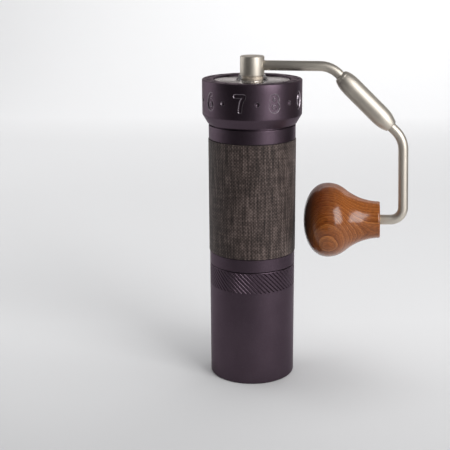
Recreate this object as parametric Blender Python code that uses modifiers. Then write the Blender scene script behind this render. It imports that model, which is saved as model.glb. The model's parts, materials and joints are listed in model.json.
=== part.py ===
"""Hand crank coffee grinder with an external grind dial, a folding crank and a pull-off catch cup.

The grinder stands upright on its catch cup. Origin: centre of the cup's base. +Z runs up the shaft.
The crank is folded down along +X, as it is stored. All sizes are in metres.
"""

import math

import bmesh
import bpy
from mathutils import Matrix, Vector

MM = 0.001

# ---- driving dimensions ----------------------------------------------------------------------
DIAL_RADIUS = 30 * MM
BODY_RADIUS = 26.25 * MM
SLEEVE_RADIUS = 26.6 * MM
HOPPER_RADIUS = 22.5 * MM
BURR_BORE_RADIUS = 23.6 * MM
CLEARANCE = 0.3 * MM

CUP_TOP = 72 * MM
SLEEVE_BOTTOM = 80.4 * MM
SLEEVE_TOP = 149.9 * MM
NECK_TOP = 158.4 * MM
DIAL_BOTTOM = 159.2 * MM
DIAL_CHAMFER = 164.8 * MM
DIAL_TOP = 185.7 * MM
LID_TOP = 185.1 * MM
HUB_TOP = 199.1 * MM

SHAFT_RADIUS = 3.9 * MM
BEARING_RADIUS = 8 * MM
BEARING_HEIGHT = 5 * MM
UPPER_BEARING_BOTTOM = 172 * MM
LOWER_BEARING_BOTTOM = 101 * MM

ROD_RADIUS = 3 * MM
HUB_RADIUS = 7.25 * MM
ARM_HEIGHT = 193.5 * MM
FOLD_ANGLE = math.radians(44)
ARM_REACH = 46.7 * MM
BARREL_START = 7.9 * MM
BARREL_LENGTH = 42.6 * MM
BARREL_RADIUS = 6 * MM
LOWER_CORNER = 60.8 * MM
LOWER_ARM_LENGTH = 49.6 * MM
ARM_BEND_RADIUS = 16 * MM
KNOB_BEND_RADIUS = 7.5 * MM
KNOB_OFFSET = 13.8 * MM
KNOB_LENGTH = 46.5 * MM
KNOB_RADIUS = 22.7 * MM
NECK_RADIUS = 11.2 * MM

# ---- facets: fine enough for the fits, coarse enough to stay light ---------------------------
LARGE = 32
MIDDLE = 20
SMALL = 14
KNOB_FACETS = 24
BURR_FACETS = 42
CURVE_STEPS = 7
ROD_SIDES_LEVEL = 4

# ---- small sizes shared by several parts -----------------------------------------------------
OVERCUT = 2 * MM
ROD_CLEARANCE = 0.2 * MM
RING_CLEARANCE = 0.2 * MM
EDGE_FILLET = 0.4 * MM


# ---- scene, materials and modelling helpers --------------------------------------------------
def clear_scene():
    for obj in list(bpy.data.objects):
        bpy.data.objects.remove(obj, do_unlink=True)


def new_collection(name):
    collection = bpy.data.collections.new(name)
    bpy.context.scene.collection.children.link(collection)
    return collection


def new_material(name, colour, roughness, metallic, transmission=0.0):
    material = bpy.data.materials.new(name)
    material.use_nodes = True
    shader = material.node_tree.nodes["Principled BSDF"]
    shader.inputs["Base Color"].default_value = (*colour, 1)
    shader.inputs["Roughness"].default_value = roughness
    shader.inputs["Metallic"].default_value = metallic
    shader.inputs["Transmission Weight"].default_value = transmission
    return material


clear_scene()
GRINDER = new_collection("coffee_grinder")
CUTTERS = new_collection("cutters")
ANODISED = new_material("anodised_aluminium", (0.075, 0.058, 0.07), 0.38, 0.85)
NICKEL = new_material("satin_nickel", (0.62, 0.57, 0.49), 0.32, 1.0)
STEEL = new_material("steel", (0.55, 0.55, 0.55), 0.35, 1.0)
BURR_STEEL = new_material("burr_steel", (0.4, 0.4, 0.41), 0.4, 1.0)
BRASS = new_material("brass", (0.75, 0.56, 0.28), 0.35, 1.0)
SLEEVE_RUBBER = new_material("sleeve_rubber", (0.06, 0.045, 0.04), 0.75, 0.0)
SEAL_RUBBER = new_material("seal_rubber", (0.02, 0.02, 0.02), 0.7, 0.0)
CLEAR_PLASTIC = new_material("clear_plastic", (0.75, 0.73, 0.72), 0.08, 0.0, 0.8)
BLACK_PLASTIC = new_material("black_plastic", (0.02, 0.02, 0.022), 0.5, 0.0)
MAGNET = new_material("magnet", (0.35, 0.35, 0.36), 0.3, 1.0)
WOOD = new_material("wood", (0.32, 0.13, 0.05), 0.35, 0.0)


def add_object(name, data, material, matrix=None):
    obj = bpy.data.objects.new(name, data)
    GRINDER.objects.link(obj)
    obj.data.materials.append(material)
    if matrix is not None:
        obj.matrix_world = matrix
    return obj


def make_cutter(obj):
    """Turns an object into a helper for a Boolean: kept out of the model and drawn as a wire."""
    GRINDER.objects.unlink(obj)
    CUTTERS.objects.link(obj)
    obj.hide_render = True
    obj.display_type = "WIRE"
    return obj


def combine(target, tool, operation):
    make_cutter(tool)
    modifier = target.modifiers.new(operation.lower() + "_" + tool.name, "BOOLEAN")
    modifier.operation = operation
    modifier.object = tool
    modifier.solver = "EXACT"


def fillet(points, segments=2):
    """A polyline with arcs at its corners. Each point is (radius, height) or (radius, height, fillet)."""
    line = []
    count = len(points)
    for index, point in enumerate(points):
        corner = Vector(point[:2])
        size = point[2] if len(point) > 2 else 0
        if not size:
            line.append(tuple(corner))
            continue
        before = (Vector(points[index - 1][:2]) - corner).normalized()
        after = (Vector(points[(index + 1) % count][:2]) - corner).normalized()
        half = math.acos(max(-1, min(1, before.dot(after)))) / 2
        cut = size / math.tan(half)
        centre = corner + (before + after).normalized() * (size / math.sin(half))
        start = corner + before * cut - centre
        end = corner + after * cut - centre
        turn = start.angle_signed(end)
        for step in range(segments + 1):
            angle = -turn * step / segments
            spoke = Matrix.Rotation(angle, 2) @ start
            line.append(tuple(centre + spoke))
    return line


def turned(name, outline, material, steps=LARGE, matrix=None):
    """A body of revolution. The outline runs down its outer side and back up its inner side.
    One that starts and ends on the axis is solid."""
    count = len(outline)
    ring = outline[0][0] > 0
    edges = [(i, (i + 1) % count) for i in range(count if ring else count - 1)]
    mesh = bpy.data.meshes.new(name)
    mesh.from_pydata([(radius, 0, height) for radius, height in outline], edges, [])
    obj = add_object(name, mesh, material, matrix)
    screw = obj.modifiers.new("turn", "SCREW")
    screw.axis = "Z"
    screw.angle = math.tau
    screw.steps = steps
    screw.render_steps = steps
    screw.use_smooth_shade = True
    screw.use_merge_vertices = True
    screw.merge_threshold = 0.00001
    return obj


def washer(name, inner, outer, bottom, top, material, steps=LARGE, matrix=None):
    outline = [(outer, top), (outer, bottom), (inner, bottom), (inner, top)]
    return turned(name, outline, material, steps, matrix)


def adopt(name, material):
    """Names the primitive that was just added, and moves it into the grinder's collection."""
    obj = bpy.context.active_object
    obj.name = name
    for collection in list(obj.users_collection):
        collection.objects.unlink(obj)
    GRINDER.objects.link(obj)
    obj.data.materials.append(material)
    return obj


def block(name, size, centre, material, turn=0.0):
    """A box of that size, centred there and then turned about the Z axis."""
    bpy.ops.mesh.primitive_cube_add(size=1)
    obj = adopt(name, material)
    obj.data.transform(Matrix.Diagonal((*size, 1)))
    obj.data.transform(Matrix.Translation(centre))
    obj.data.transform(Matrix.Rotation(turn, 4, "Z"))
    return obj


def prism(name, sides, radius, bottom, top, material, axis=None):
    """An upright prism with that many sides, its corners at that radius."""
    bpy.ops.mesh.primitive_cylinder_add(vertices=sides, radius=radius, depth=top - bottom)
    obj = adopt(name, material)
    obj.data.transform(Matrix.Translation((0, 0, (top + bottom) / 2)))
    if axis is not None:
        obj.data.transform(axis)
    return obj


def split_ring(name, inner, outer, bottom, top, gap, material, steps=16):
    """A snap ring: a rectangle swept round the axis, open over the gap angle."""
    shape = bmesh.new()
    corners = [(outer, 0, top), (outer, 0, bottom), (inner, 0, bottom), (inner, 0, top)]
    face = shape.faces.new([shape.verts.new(corner) for corner in corners])
    geometry = [face, *face.edges, *face.verts]
    sweep = math.tau - gap
    bmesh.ops.spin(shape, geom=geometry, cent=(0, 0, 0), axis=(0, 0, 1), angle=sweep, steps=steps)
    bmesh.ops.recalc_face_normals(shape, faces=shape.faces)
    shape.transform(Matrix.Rotation(gap / 2, 4, "Z"))
    mesh = bpy.data.meshes.new(name)
    shape.to_mesh(mesh)
    shape.free()
    return add_object(name, mesh, material)


def wire(name, points, radius, material, sides_level, matrix=None):
    """A round wire or rod through the points."""
    curve = bpy.data.curves.new(name, "CURVE")
    curve.dimensions = "3D"
    curve.bevel_depth = radius
    curve.bevel_resolution = sides_level
    curve.use_fill_caps = True
    spline = curve.splines.new("POLY")
    spline.points.add(len(points) - 1)
    for target, point in zip(spline.points, points):
        target.co = (*point, 1)
    return add_object(name, curve, material, matrix)


def coil(name, radius, wire_radius, bottom, top, turns, material, matrix=None, per_turn=9):
    """A compression spring about Z, its wire inside bottom and top."""
    count = int(turns * per_turn)
    low = bottom + wire_radius
    rise = top - bottom - 2 * wire_radius
    points = []
    for index in range(count + 1):
        share = index / count
        angle = math.tau * turns * share
        points.append((radius * math.cos(angle), radius * math.sin(angle), low + rise * share))
    return wire(name, points, wire_radius, material, 1, matrix)


def lofted(name, rings, material):
    """A ring-shaped body skinned over closed sections that all have the same number of points."""
    count = len(rings[0])
    points = [point for ring in rings for point in ring]
    faces = []
    for level in range(len(rings)):
        after = (level + 1) % len(rings)
        for index in range(count):
            beside = (index + 1) % count
            faces.append((
                level * count + index,
                level * count + beside,
                after * count + beside,
                after * count + index,
            ))
    mesh = bpy.data.meshes.new(name)
    mesh.from_pydata(points, [], faces)
    shape = bmesh.new()
    shape.from_mesh(mesh)
    bmesh.ops.recalc_face_normals(shape, faces=shape.faces)
    shape.to_mesh(mesh)
    shape.free()
    return add_object(name, mesh, material)


def smooth_round(obj):
    obj.data.shade_smooth()
    obj.data.set_sharp_from_angle(angle=math.radians(35))


# ---- the grinder's body ----------------------------------------------------------------------
SPIGOT_RADIUS = 25 * MM
SPIGOT_TOP = 170 * MM
SLEEVE_SEAT_RADIUS = 25.2 * MM
SLEEVE_GAP = 0.2 * MM
SLEEVE_FILLET = 0.6 * MM
CUP_SPIGOT_RADIUS = 24.7 * MM
CUP_SPIGOT_BOTTOM = 64 * MM
LEDGE_RADIUS = 21.5 * MM
BURR_BORE_TOP = 90.5 * MM
SPIDER_SEAT = 99.7 * MM
KEYWAY_RADIUS = 23.6 * MM
KEYWAY_WIDTH = 6.4 * MM
KEYWAY_BOTTOM = 158.8 * MM
KEY_ANGLES = [math.radians(angle) for angle in (30, 150, 270)]
ARM_ANGLES = [math.radians(angle) for angle in (90, 210, 330)]
DIAL_RING_SLOT = (163.0 * MM, 164.4 * MM)
DIAL_SLOT_DEPTH = 0.6 * MM
SPIDER_RING_SLOT = (107.9 * MM, 109.3 * MM)
SPIDER_SLOT_DEPTH = 0.9 * MM


def build_body_tube():
    slot_low, slot_high = DIAL_RING_SLOT
    ring_low, ring_high = SPIDER_RING_SLOT
    outline = fillet([
        (SPIGOT_RADIUS, SPIGOT_TOP),
        (SPIGOT_RADIUS, slot_high),
        (SPIGOT_RADIUS - DIAL_SLOT_DEPTH, slot_high),
        (SPIGOT_RADIUS - DIAL_SLOT_DEPTH, slot_low),
        (SPIGOT_RADIUS, slot_low),
        (SPIGOT_RADIUS, NECK_TOP),
        (BODY_RADIUS, NECK_TOP, EDGE_FILLET),
        (BODY_RADIUS, SLEEVE_TOP + CLEARANCE),
        (SLEEVE_SEAT_RADIUS, SLEEVE_TOP + CLEARANCE),
        (SLEEVE_SEAT_RADIUS, SLEEVE_BOTTOM - CLEARANCE),
        (BODY_RADIUS, SLEEVE_BOTTOM - CLEARANCE),
        (BODY_RADIUS, CUP_TOP + CLEARANCE, 0.3 * MM),
        (CUP_SPIGOT_RADIUS, CUP_TOP + CLEARANCE),
        (CUP_SPIGOT_RADIUS, CUP_SPIGOT_BOTTOM),
        (BURR_BORE_RADIUS, CUP_SPIGOT_BOTTOM),
        (BURR_BORE_RADIUS, BURR_BORE_TOP),
        (LEDGE_RADIUS, BURR_BORE_TOP),
        (LEDGE_RADIUS, SPIDER_SEAT),
        (HOPPER_RADIUS, SPIDER_SEAT),
        (HOPPER_RADIUS, ring_low),
        (HOPPER_RADIUS + SPIDER_SLOT_DEPTH, ring_low),
        (HOPPER_RADIUS + SPIDER_SLOT_DEPTH, ring_high),
        (HOPPER_RADIUS, ring_high),
        (HOPPER_RADIUS, SPIGOT_TOP),
    ], segments=1)
    tube = turned("body_tube", outline, ANODISED)
    height = SPIGOT_TOP - KEYWAY_BOTTOM + OVERCUT
    depth = KEYWAY_RADIUS - HOPPER_RADIUS + OVERCUT
    for number, angle in enumerate(KEY_ANGLES, 1):
        centre = (KEYWAY_RADIUS - depth / 2, 0, KEYWAY_BOTTOM + height / 2)
        slot = block(f"keyway_{number}", (depth, KEYWAY_WIDTH, height), centre, ANODISED, angle)
        combine(tube, slot, "DIFFERENCE")


def build_grip_sleeve():
    inner = SLEEVE_SEAT_RADIUS + SLEEVE_GAP
    outline = fillet([
        (SLEEVE_RADIUS, SLEEVE_TOP, SLEEVE_FILLET),
        (SLEEVE_RADIUS, SLEEVE_BOTTOM, SLEEVE_FILLET),
        (inner, SLEEVE_BOTTOM),
        (inner, SLEEVE_TOP),
    ], segments=1)
    turned("grip_sleeve", outline, SLEEVE_RUBBER)


# ---- bearings and their holders --------------------------------------------------------------
HOLDER_RADIUS = 10.5 * MM
HOLDER_LIP_RADIUS = 6.5 * MM
HOLDER_LIP = 1 * MM
CLIP_SLOT_HEIGHT = 1.2 * MM
CLIP_SLOT_DEPTH = 0.9 * MM
CLIP_SLOT_WALL = 0.7 * MM
CLIP_THICKNESS = 0.8 * MM
CLIP_INNER_RADIUS = 6.8 * MM
CLIP_OUTER_RADIUS = 8.9 * MM
INNER_RACE_RADIUS = 5.2 * MM
OUTER_RACE_RADIUS = 6.8 * MM
RACE_GROOVE = 0.4 * MM
BEARING_FILLET = 0.3 * MM
WIDE_GAP = math.radians(50)
NARROW_GAP = math.radians(30)
SPIDER_TOP = 107.4 * MM
SPIDER_RIM = 1.4 * MM
SPIDER_RING_INNER = HOPPER_RADIUS - 1.3 * MM
SPIDER_RING_OUTER = HOPPER_RADIUS + 0.6 * MM
SPIDER_ARM_WIDTH = 5 * MM
ARM_START_RADIUS = 9.2 * MM


def bearing_hub(name, bottom, material):
    """The boss that holds a bearing: a lip under it, a bore round it and a slot for its clip."""
    bore = BEARING_RADIUS + CLEARANCE
    seat = bottom - CLEARANCE
    clip_low = bottom + BEARING_HEIGHT + CLEARANCE
    clip_high = clip_low + CLIP_SLOT_HEIGHT
    top = clip_high + CLIP_SLOT_WALL
    return turned(name, [
        (HOLDER_RADIUS, top),
        (HOLDER_RADIUS, seat - HOLDER_LIP),
        (HOLDER_LIP_RADIUS, seat - HOLDER_LIP),
        (HOLDER_LIP_RADIUS, seat),
        (bore, seat),
        (bore, clip_low),
        (bore + CLIP_SLOT_DEPTH, clip_low),
        (bore + CLIP_SLOT_DEPTH, clip_high),
        (bore, clip_high),
        (bore, top),
    ], material, MIDDLE)


def build_bearing(name, bottom):
    """A bearing, with a groove between its races, and the clip that holds it down in its boss."""
    top = bottom + BEARING_HEIGHT
    bore = SHAFT_RADIUS + ROD_CLEARANCE
    outline = fillet([
        (BEARING_RADIUS, top, BEARING_FILLET),
        (BEARING_RADIUS, bottom, BEARING_FILLET),
        (bore, bottom),
        (bore, top),
        (INNER_RACE_RADIUS, top),
        (INNER_RACE_RADIUS, top - RACE_GROOVE),
        (OUTER_RACE_RADIUS, top - RACE_GROOVE),
        (OUTER_RACE_RADIUS, top),
    ], segments=1)
    turned(name, outline, STEEL, MIDDLE)
    clip_bottom = top + CLEARANCE + RING_CLEARANCE
    split_ring(name + "_clip", CLIP_INNER_RADIUS, CLIP_OUTER_RADIUS, clip_bottom,
               clip_bottom + CLIP_THICKNESS, WIDE_GAP, STEEL)


def add_spider_arms(target, outer, bottom, top, material):
    """Three arms from a bearing's boss out to the rim round it."""
    for number, angle in enumerate(ARM_ANGLES, 1):
        size = (outer - ARM_START_RADIUS, SPIDER_ARM_WIDTH, top - bottom)
        centre = ((outer + ARM_START_RADIUS) / 2, 0, (top + bottom) / 2)
        arm = block(f"{target.name}_arm_{number}", size, centre, material, angle)
        combine(target, arm, "UNION")


def build_lower_spider():
    ring_outer = HOPPER_RADIUS - CLEARANCE
    bottom = SPIDER_SEAT + CLEARANCE
    arm_end = ring_outer - SPIDER_RIM / 2
    spider = washer("lower_spider", ring_outer - SPIDER_RIM, ring_outer, bottom, SPIDER_TOP, STEEL)
    combine(spider, bearing_hub("lower_hub", LOWER_BEARING_BOTTOM, STEEL), "UNION")
    add_spider_arms(spider, arm_end, bottom + 0.6 * MM, SPIDER_TOP - 1.6 * MM, STEEL)
    slot_low, slot_high = SPIDER_RING_SLOT
    split_ring("spider_snap_ring", SPIDER_RING_INNER, SPIDER_RING_OUTER, slot_low + RING_CLEARANCE,
               slot_high - RING_CLEARANCE, NARROW_GAP, STEEL, steps=28)


# ---- grind dial and the carrier that it raises -----------------------------------------------
CARRIER_TOP = 180.2 * MM
CARRIER_BOTTOM = 171.5 * MM
CARRIER_RADIUS = 24.6 * MM
LID_OPENING = 23 * MM
DIAL_INNER_CORNER = 0.6 * MM
DIAL_TOP_FILLET = 0.7 * MM
DIAL_CHAMFER_FILLET = 1.2 * MM
DIAL_LIP_BOTTOM = 183.1 * MM
DIAL_SEAT = SPIGOT_TOP + 0.4 * MM
CARRIER_ARM_HEIGHTS = (172.1 * MM, 177.1 * MM)
KEY_BOTTOM = 160.2 * MM
KEY_WIDTH = 5.4 * MM


def build_dial():
    """The numbered ring: it turns on a snap ring, and its threaded bore raises the carrier."""
    bore = SPIGOT_RADIUS + CLEARANCE
    thread = CARRIER_RADIUS + CLEARANCE
    slot_low, slot_high = DIAL_RING_SLOT
    outline = fillet([
        (DIAL_RADIUS, DIAL_TOP, DIAL_TOP_FILLET),
        (DIAL_RADIUS, DIAL_CHAMFER, DIAL_CHAMFER_FILLET),
        (BODY_RADIUS + 0.2 * MM, DIAL_BOTTOM),
        (bore, DIAL_BOTTOM),
        (bore, slot_low),
        (bore + DIAL_SLOT_DEPTH, slot_low),
        (bore + DIAL_SLOT_DEPTH, slot_high),
        (bore, slot_high),
        (bore, DIAL_SEAT),
        (thread, DIAL_SEAT),
        (thread, DIAL_LIP_BOTTOM),
        (LID_OPENING, DIAL_LIP_BOTTOM),
        (LID_OPENING, DIAL_TOP - 0.8 * MM),
        (LID_OPENING + DIAL_INNER_CORNER, DIAL_TOP - 0.2 * MM),
    ], segments=2)
    turned("adjustment_dial", outline, ANODISED)
    split_ring("dial_snap_ring", SPIGOT_RADIUS - 0.4 * MM, SPIGOT_RADIUS + 0.7 * MM,
               slot_low + RING_CLEARANCE, slot_high - RING_CLEARANCE, NARROW_GAP, STEEL, steps=30)


CLICK_BALL_RADIUS = 1.5 * MM
CLICK_BALL_PLACE = 23.2 * MM
CLICK_HOLE_RADIUS = 1.75 * MM
CLICK_HOLE_START = 11.5 * MM
CLICK_COIL_RADIUS = 1.15 * MM
CLICK_WIRE_RADIUS = 0.25 * MM
CLICK_HEIGHT = 174.6 * MM


def build_carrier():
    """The ring that carries the shaft's upper bearing. Three keys stop it turning in the body."""
    rim = (HOPPER_RADIUS, CARRIER_RADIUS, CARRIER_BOTTOM, CARRIER_TOP)
    carrier = washer("shaft_carrier", *rim, ANODISED)
    combine(carrier, bearing_hub("upper_hub", UPPER_BEARING_BOTTOM, ANODISED), "UNION")
    add_spider_arms(carrier, CARRIER_RADIUS - 1 * MM, *CARRIER_ARM_HEIGHTS, ANODISED)
    key_outer = KEYWAY_RADIUS - CLEARANCE
    key_inner = HOPPER_RADIUS + 0.1 * MM
    key_top = CARRIER_BOTTOM + OVERCUT
    for number, angle in enumerate(KEY_ANGLES, 1):
        size = (key_outer - key_inner, KEY_WIDTH, key_top - KEY_BOTTOM)
        centre = ((key_outer + key_inner) / 2, 0, (key_top + KEY_BOTTOM) / 2)
        combine(carrier, block(f"key_{number}", size, centre, ANODISED, angle), "UNION")
    along_y = Matrix.Translation((0, 0, CLICK_HEIGHT)) @ Matrix.Rotation(-math.pi / 2, 4, "X")
    hole_end = CARRIER_RADIUS + OVERCUT
    hole = prism("click_hole", SMALL, CLICK_HOLE_RADIUS, CLICK_HOLE_START, hole_end, ANODISED, along_y)
    combine(carrier, hole, "DIFFERENCE")
    bpy.ops.mesh.primitive_uv_sphere_add(segments=12, ring_count=8, radius=CLICK_BALL_RADIUS,
                                         location=(0, CLICK_BALL_PLACE, CLICK_HEIGHT))
    adopt("click_ball", STEEL)
    coil("click_spring", CLICK_COIL_RADIUS, CLICK_WIRE_RADIUS, CLICK_HOLE_START + RING_CLEARANCE,
         CLICK_BALL_PLACE - CLICK_BALL_RADIUS - RING_CLEARANCE, 5, STEEL, along_y, per_turn=8)


# ---- shaft -----------------------------------------------------------------------------------
HEX_RADIUS = 4 * MM
SHAFT_TOP = 194.5 * MM
HEX_BOTTOM = 178.7 * MM
THREAD_RADIUS = 2.9 * MM
THREAD_CHAMFER = 0.6 * MM
SHAFT_BOTTOM = 60.8 * MM
COLLAR_RADIUS = 5.2 * MM
COLLAR_HEIGHT = 3 * MM
SHAFT_SLOT_HEIGHT = 0.9 * MM
SHAFT_SLOT_DEPTH = 0.7 * MM
NUT_RADIUS = 6.3 * MM
NUT_BOTTOM = 63.4 * MM
NUT_TOP = 68.2 * MM
WASHER_RADIUS = 6.5 * MM
WASHER_BOTTOM = 68.5 * MM
WASHER_TOP = 69.7 * MM


def build_shaft():
    """The drive shaft: a hexagonal top that the crank lifts off, and a threaded end under the burr."""
    shoulder_top = UPPER_BEARING_BOTTOM - CLEARANCE
    clip_low = UPPER_BEARING_BOTTOM + BEARING_HEIGHT + CLEARANCE
    clip_high = clip_low + SHAFT_SLOT_HEIGHT
    outline = [
        (0, HEX_BOTTOM),
        (SHAFT_RADIUS, HEX_BOTTOM),
        (SHAFT_RADIUS, clip_high),
        (SHAFT_RADIUS - SHAFT_SLOT_DEPTH, clip_high),
        (SHAFT_RADIUS - SHAFT_SLOT_DEPTH, clip_low),
        (SHAFT_RADIUS, clip_low),
        (SHAFT_RADIUS, shoulder_top),
        (COLLAR_RADIUS, shoulder_top),
        (COLLAR_RADIUS, shoulder_top - COLLAR_HEIGHT),
        (SHAFT_RADIUS, shoulder_top - COLLAR_HEIGHT - 2 * MM),
        (SHAFT_RADIUS, BURR_BOTTOM),
        (THREAD_RADIUS, BURR_BOTTOM),
        (THREAD_RADIUS, SHAFT_BOTTOM + THREAD_CHAMFER),
        (THREAD_RADIUS - THREAD_CHAMFER, SHAFT_BOTTOM),
        (0, SHAFT_BOTTOM),
    ]
    shaft = turned("drive_shaft", outline, STEEL, SMALL)
    combine(shaft, prism("hex_end", 6, HEX_RADIUS, HEX_BOTTOM - 0.5 * MM, SHAFT_TOP, STEEL), "UNION")
    split_ring("shaft_clip", SHAFT_RADIUS - 0.4 * MM, 5.9 * MM, clip_low + 0.1 * MM, clip_high - 0.1 * MM,
               WIDE_GAP, STEEL, steps=12)
    washer_bore = THREAD_RADIUS + CLEARANCE
    washer("burr_washer", washer_bore, WASHER_RADIUS, WASHER_BOTTOM, WASHER_TOP, STEEL, SMALL)
    nut = prism("burr_nut", 6, NUT_RADIUS, NUT_BOTTOM, NUT_TOP, STEEL)
    bore_radius = THREAD_RADIUS + ROD_CLEARANCE
    bore = prism("nut_bore", SMALL, bore_radius, NUT_BOTTOM - OVERCUT, NUT_TOP + OVERCUT, STEEL)
    combine(nut, bore, "DIFFERENCE")


# ---- burrs -----------------------------------------------------------------------------------
BURR_TOP = 92.5 * MM
BURR_BOTTOM = 70 * MM
BURR_LEVELS = 7
FLUTES = 7
INNER_TWIST = math.radians(55)
OUTER_TWIST = math.radians(-40)
INNER_FLUTE_DEPTH = 2.6 * MM
OUTER_FLUTE_DEPTH = 5.2 * MM
TOOTH_DEPTH = 0.5 * MM
OUTER_BURR_BOTTOM = 68 * MM
RETAINING_RING_TOP = 67.7 * MM
RETAINING_RING_RADIUS = 20.6 * MM
NOTCH_WIDTH = 3 * MM
NOTCH_DEPTH = 1.6 * MM
# (height, radius) down each burr's toothed face, in millimetres
INNER_PROFILE = [(92.5, 7.2), (88, 9), (82, 12.6), (76, 16), (72, 17.6), (70, 18.2)]
OUTER_PROFILE = [(90.2, 20.6), (86, 19.4), (80, 17.8), (76, 17.4), (72.7, 18.4), (70, 19.3), (68, 20)]


def radius_at(profile, height):
    """The radius at that height, from (height, radius) pairs that run downwards."""
    for (high, first), (low, second) in zip(profile, profile[1:]):
        if height >= low:
            return first + (second - first) * (high - height) / (high - low)
    return profile[-1][1]


def burr_section(height, radius, coarse_depth, fine_depth, twist, outward):
    """A toothed section: spiral flutes, with fine teeth between them."""
    points = []
    for index in range(BURR_FACETS):
        angle = math.tau * index / BURR_FACETS
        flute = ((angle - twist) * FLUTES / math.tau) % 1
        cut = coarse_depth * flute + fine_depth * (index % 2)
        reach = radius + cut if outward else radius - cut
        points.append((reach * math.cos(angle), reach * math.sin(angle), height))
    return points


def plain_section(height, radius):
    return burr_section(height, radius, 0, 0, 0, True)


def build_inner_burr():
    """The cone on the shaft: deep flutes draw the beans in, fine teeth finish at its wide foot."""
    profile = [(height * MM, radius * MM) for height, radius in INNER_PROFILE]
    bore = SHAFT_RADIUS + CLEARANCE
    rings = [plain_section(BURR_TOP, bore)]
    for step in range(BURR_LEVELS + 1):
        share = step / BURR_LEVELS
        height = BURR_TOP + (BURR_BOTTOM - BURR_TOP) * share
        coarse = INNER_FLUTE_DEPTH * (1 - share) * min(1, share * 6)
        fine = TOOTH_DEPTH * share
        radius = radius_at(profile, height)
        rings.append(burr_section(height, radius, coarse, fine, INNER_TWIST * share, False))
    rings.append(plain_section(BURR_BOTTOM, bore))
    lofted("inner_burr", rings, BURR_STEEL)


def build_outer_burr():
    """The ring fixed in the body, toothed on its inside."""
    top = BURR_BORE_TOP - CLEARANCE
    outer = BURR_BORE_RADIUS - CLEARANCE
    rings = [plain_section(top, outer), plain_section(OUTER_BURR_BOTTOM, outer)]
    for level, radius in reversed(OUTER_PROFILE):
        height = level * MM
        share = (height - OUTER_BURR_BOTTOM) / (top - OUTER_BURR_BOTTOM)
        coarse = OUTER_FLUTE_DEPTH * share * share * (1 - share)
        fine = TOOTH_DEPTH * (1 - share)
        rings.append(burr_section(height, radius * MM, coarse, fine, OUTER_TWIST * share, True))
    lofted("outer_burr", rings, BURR_STEEL)


def build_burr_retaining_ring():
    """The ring that holds the outer burr up. Four notches in its lower face take a spanner."""
    outer = BURR_BORE_RADIUS - CLEARANCE
    bottom = CUP_SPIGOT_BOTTOM + RING_CLEARANCE
    ring = washer("burr_retaining_ring", RETAINING_RING_RADIUS, outer, bottom, RETAINING_RING_TOP, STEEL)
    size = (2 * outer + OVERCUT, NOTCH_WIDTH, 2 * NOTCH_DEPTH)
    for number, angle in enumerate((math.pi / 4, 3 * math.pi / 4), 1):
        notch = block(f"ring_notch_{number}", size, (0, 0, bottom), STEEL, angle)
        combine(ring, notch, "DIFFERENCE")


# ---- lid, crank and knob ---------------------------------------------------------------------
LID_RADIUS = 22.7 * MM
LID_SKIRT_RADIUS = 22 * MM
LID_WALL = 1.8 * MM
LID_UNDERSIDE = 181.8 * MM
BOSS_BASE_RADIUS = 9.5 * MM
BOSS_TOP_RADIUS = 7.75 * MM
BOSS_TOP = 188.1 * MM
SEAL_SLOT = (178.9 * MM, 180.1 * MM)
SEAL_SLOT_DEPTH = 0.9 * MM
SEAL_RADIUS = 21.86 * MM
SEAL_THICKNESS = 0.8 * MM
SEAL_SIDES = 6


def build_lid():
    """The clear lid, its cone round the crank's hub and its skirt with a seal in the hopper."""
    bore = HUB_RADIUS + ROD_CLEARANCE
    slot_low, slot_high = SEAL_SLOT
    slot_floor = LID_SKIRT_RADIUS - SEAL_SLOT_DEPTH
    skirt_inner = LID_SKIRT_RADIUS - LID_WALL
    skirt_bottom = slot_low - 0.7 * MM
    outline = fillet([
        (bore, BOSS_TOP),
        (BOSS_TOP_RADIUS, BOSS_TOP),
        (BOSS_BASE_RADIUS, LID_TOP, 0.5 * MM),
        (LID_RADIUS, LID_TOP, 0.5 * MM),
        (LID_RADIUS, CARRIER_TOP + CLEARANCE),
        (LID_SKIRT_RADIUS, CARRIER_TOP + CLEARANCE),
        (LID_SKIRT_RADIUS, slot_high),
        (slot_floor, slot_high),
        (slot_floor, slot_low),
        (LID_SKIRT_RADIUS, slot_low),
        (LID_SKIRT_RADIUS, skirt_bottom),
        (skirt_inner, skirt_bottom),
        (skirt_inner, LID_UNDERSIDE),
        (bore, LID_UNDERSIDE),
    ], segments=1)
    turned("hopper_lid", outline, CLEAR_PLASTIC)
    build_seal((slot_low + slot_high) / 2)


def build_seal(height):
    """A round rubber ring in the skirt's slot."""
    outline = []
    for index in range(SEAL_SIDES):
        angle = math.tau * index / SEAL_SIDES
        reach = SEAL_THICKNESS / 2
        outline.append((SEAL_RADIUS + reach * math.cos(angle), height - reach * math.sin(angle)))
    turned("lid_seal", outline, SEAL_RUBBER)


def arm_matrix(reach, turn):
    """A frame whose Z runs along the crank's slanted run, at that distance past the upper corner."""
    along = Vector((math.cos(turn), 0, -math.sin(turn)))
    start = Vector((ARM_REACH, 0, ARM_HEIGHT)) + along * reach
    side = Vector((0, 1, 0))
    matrix = Matrix((side.cross(along), side, along)).transposed().to_4x4()
    matrix.translation = start
    return matrix


def bend(before, corner, after, radius, steps):
    """Points along an arc that rounds a corner of a rod."""
    first = (before - corner).normalized()
    second = (after - corner).normalized()
    half = first.angle(second) / 2
    centre = corner + (first + second).normalized() * (radius / math.sin(half))
    start = corner + first * (radius / math.tan(half)) - centre
    end = corner + second * (radius / math.tan(half)) - centre
    return [centre + start.slerp(end, step / steps) * radius for step in range(steps + 1)]


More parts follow.
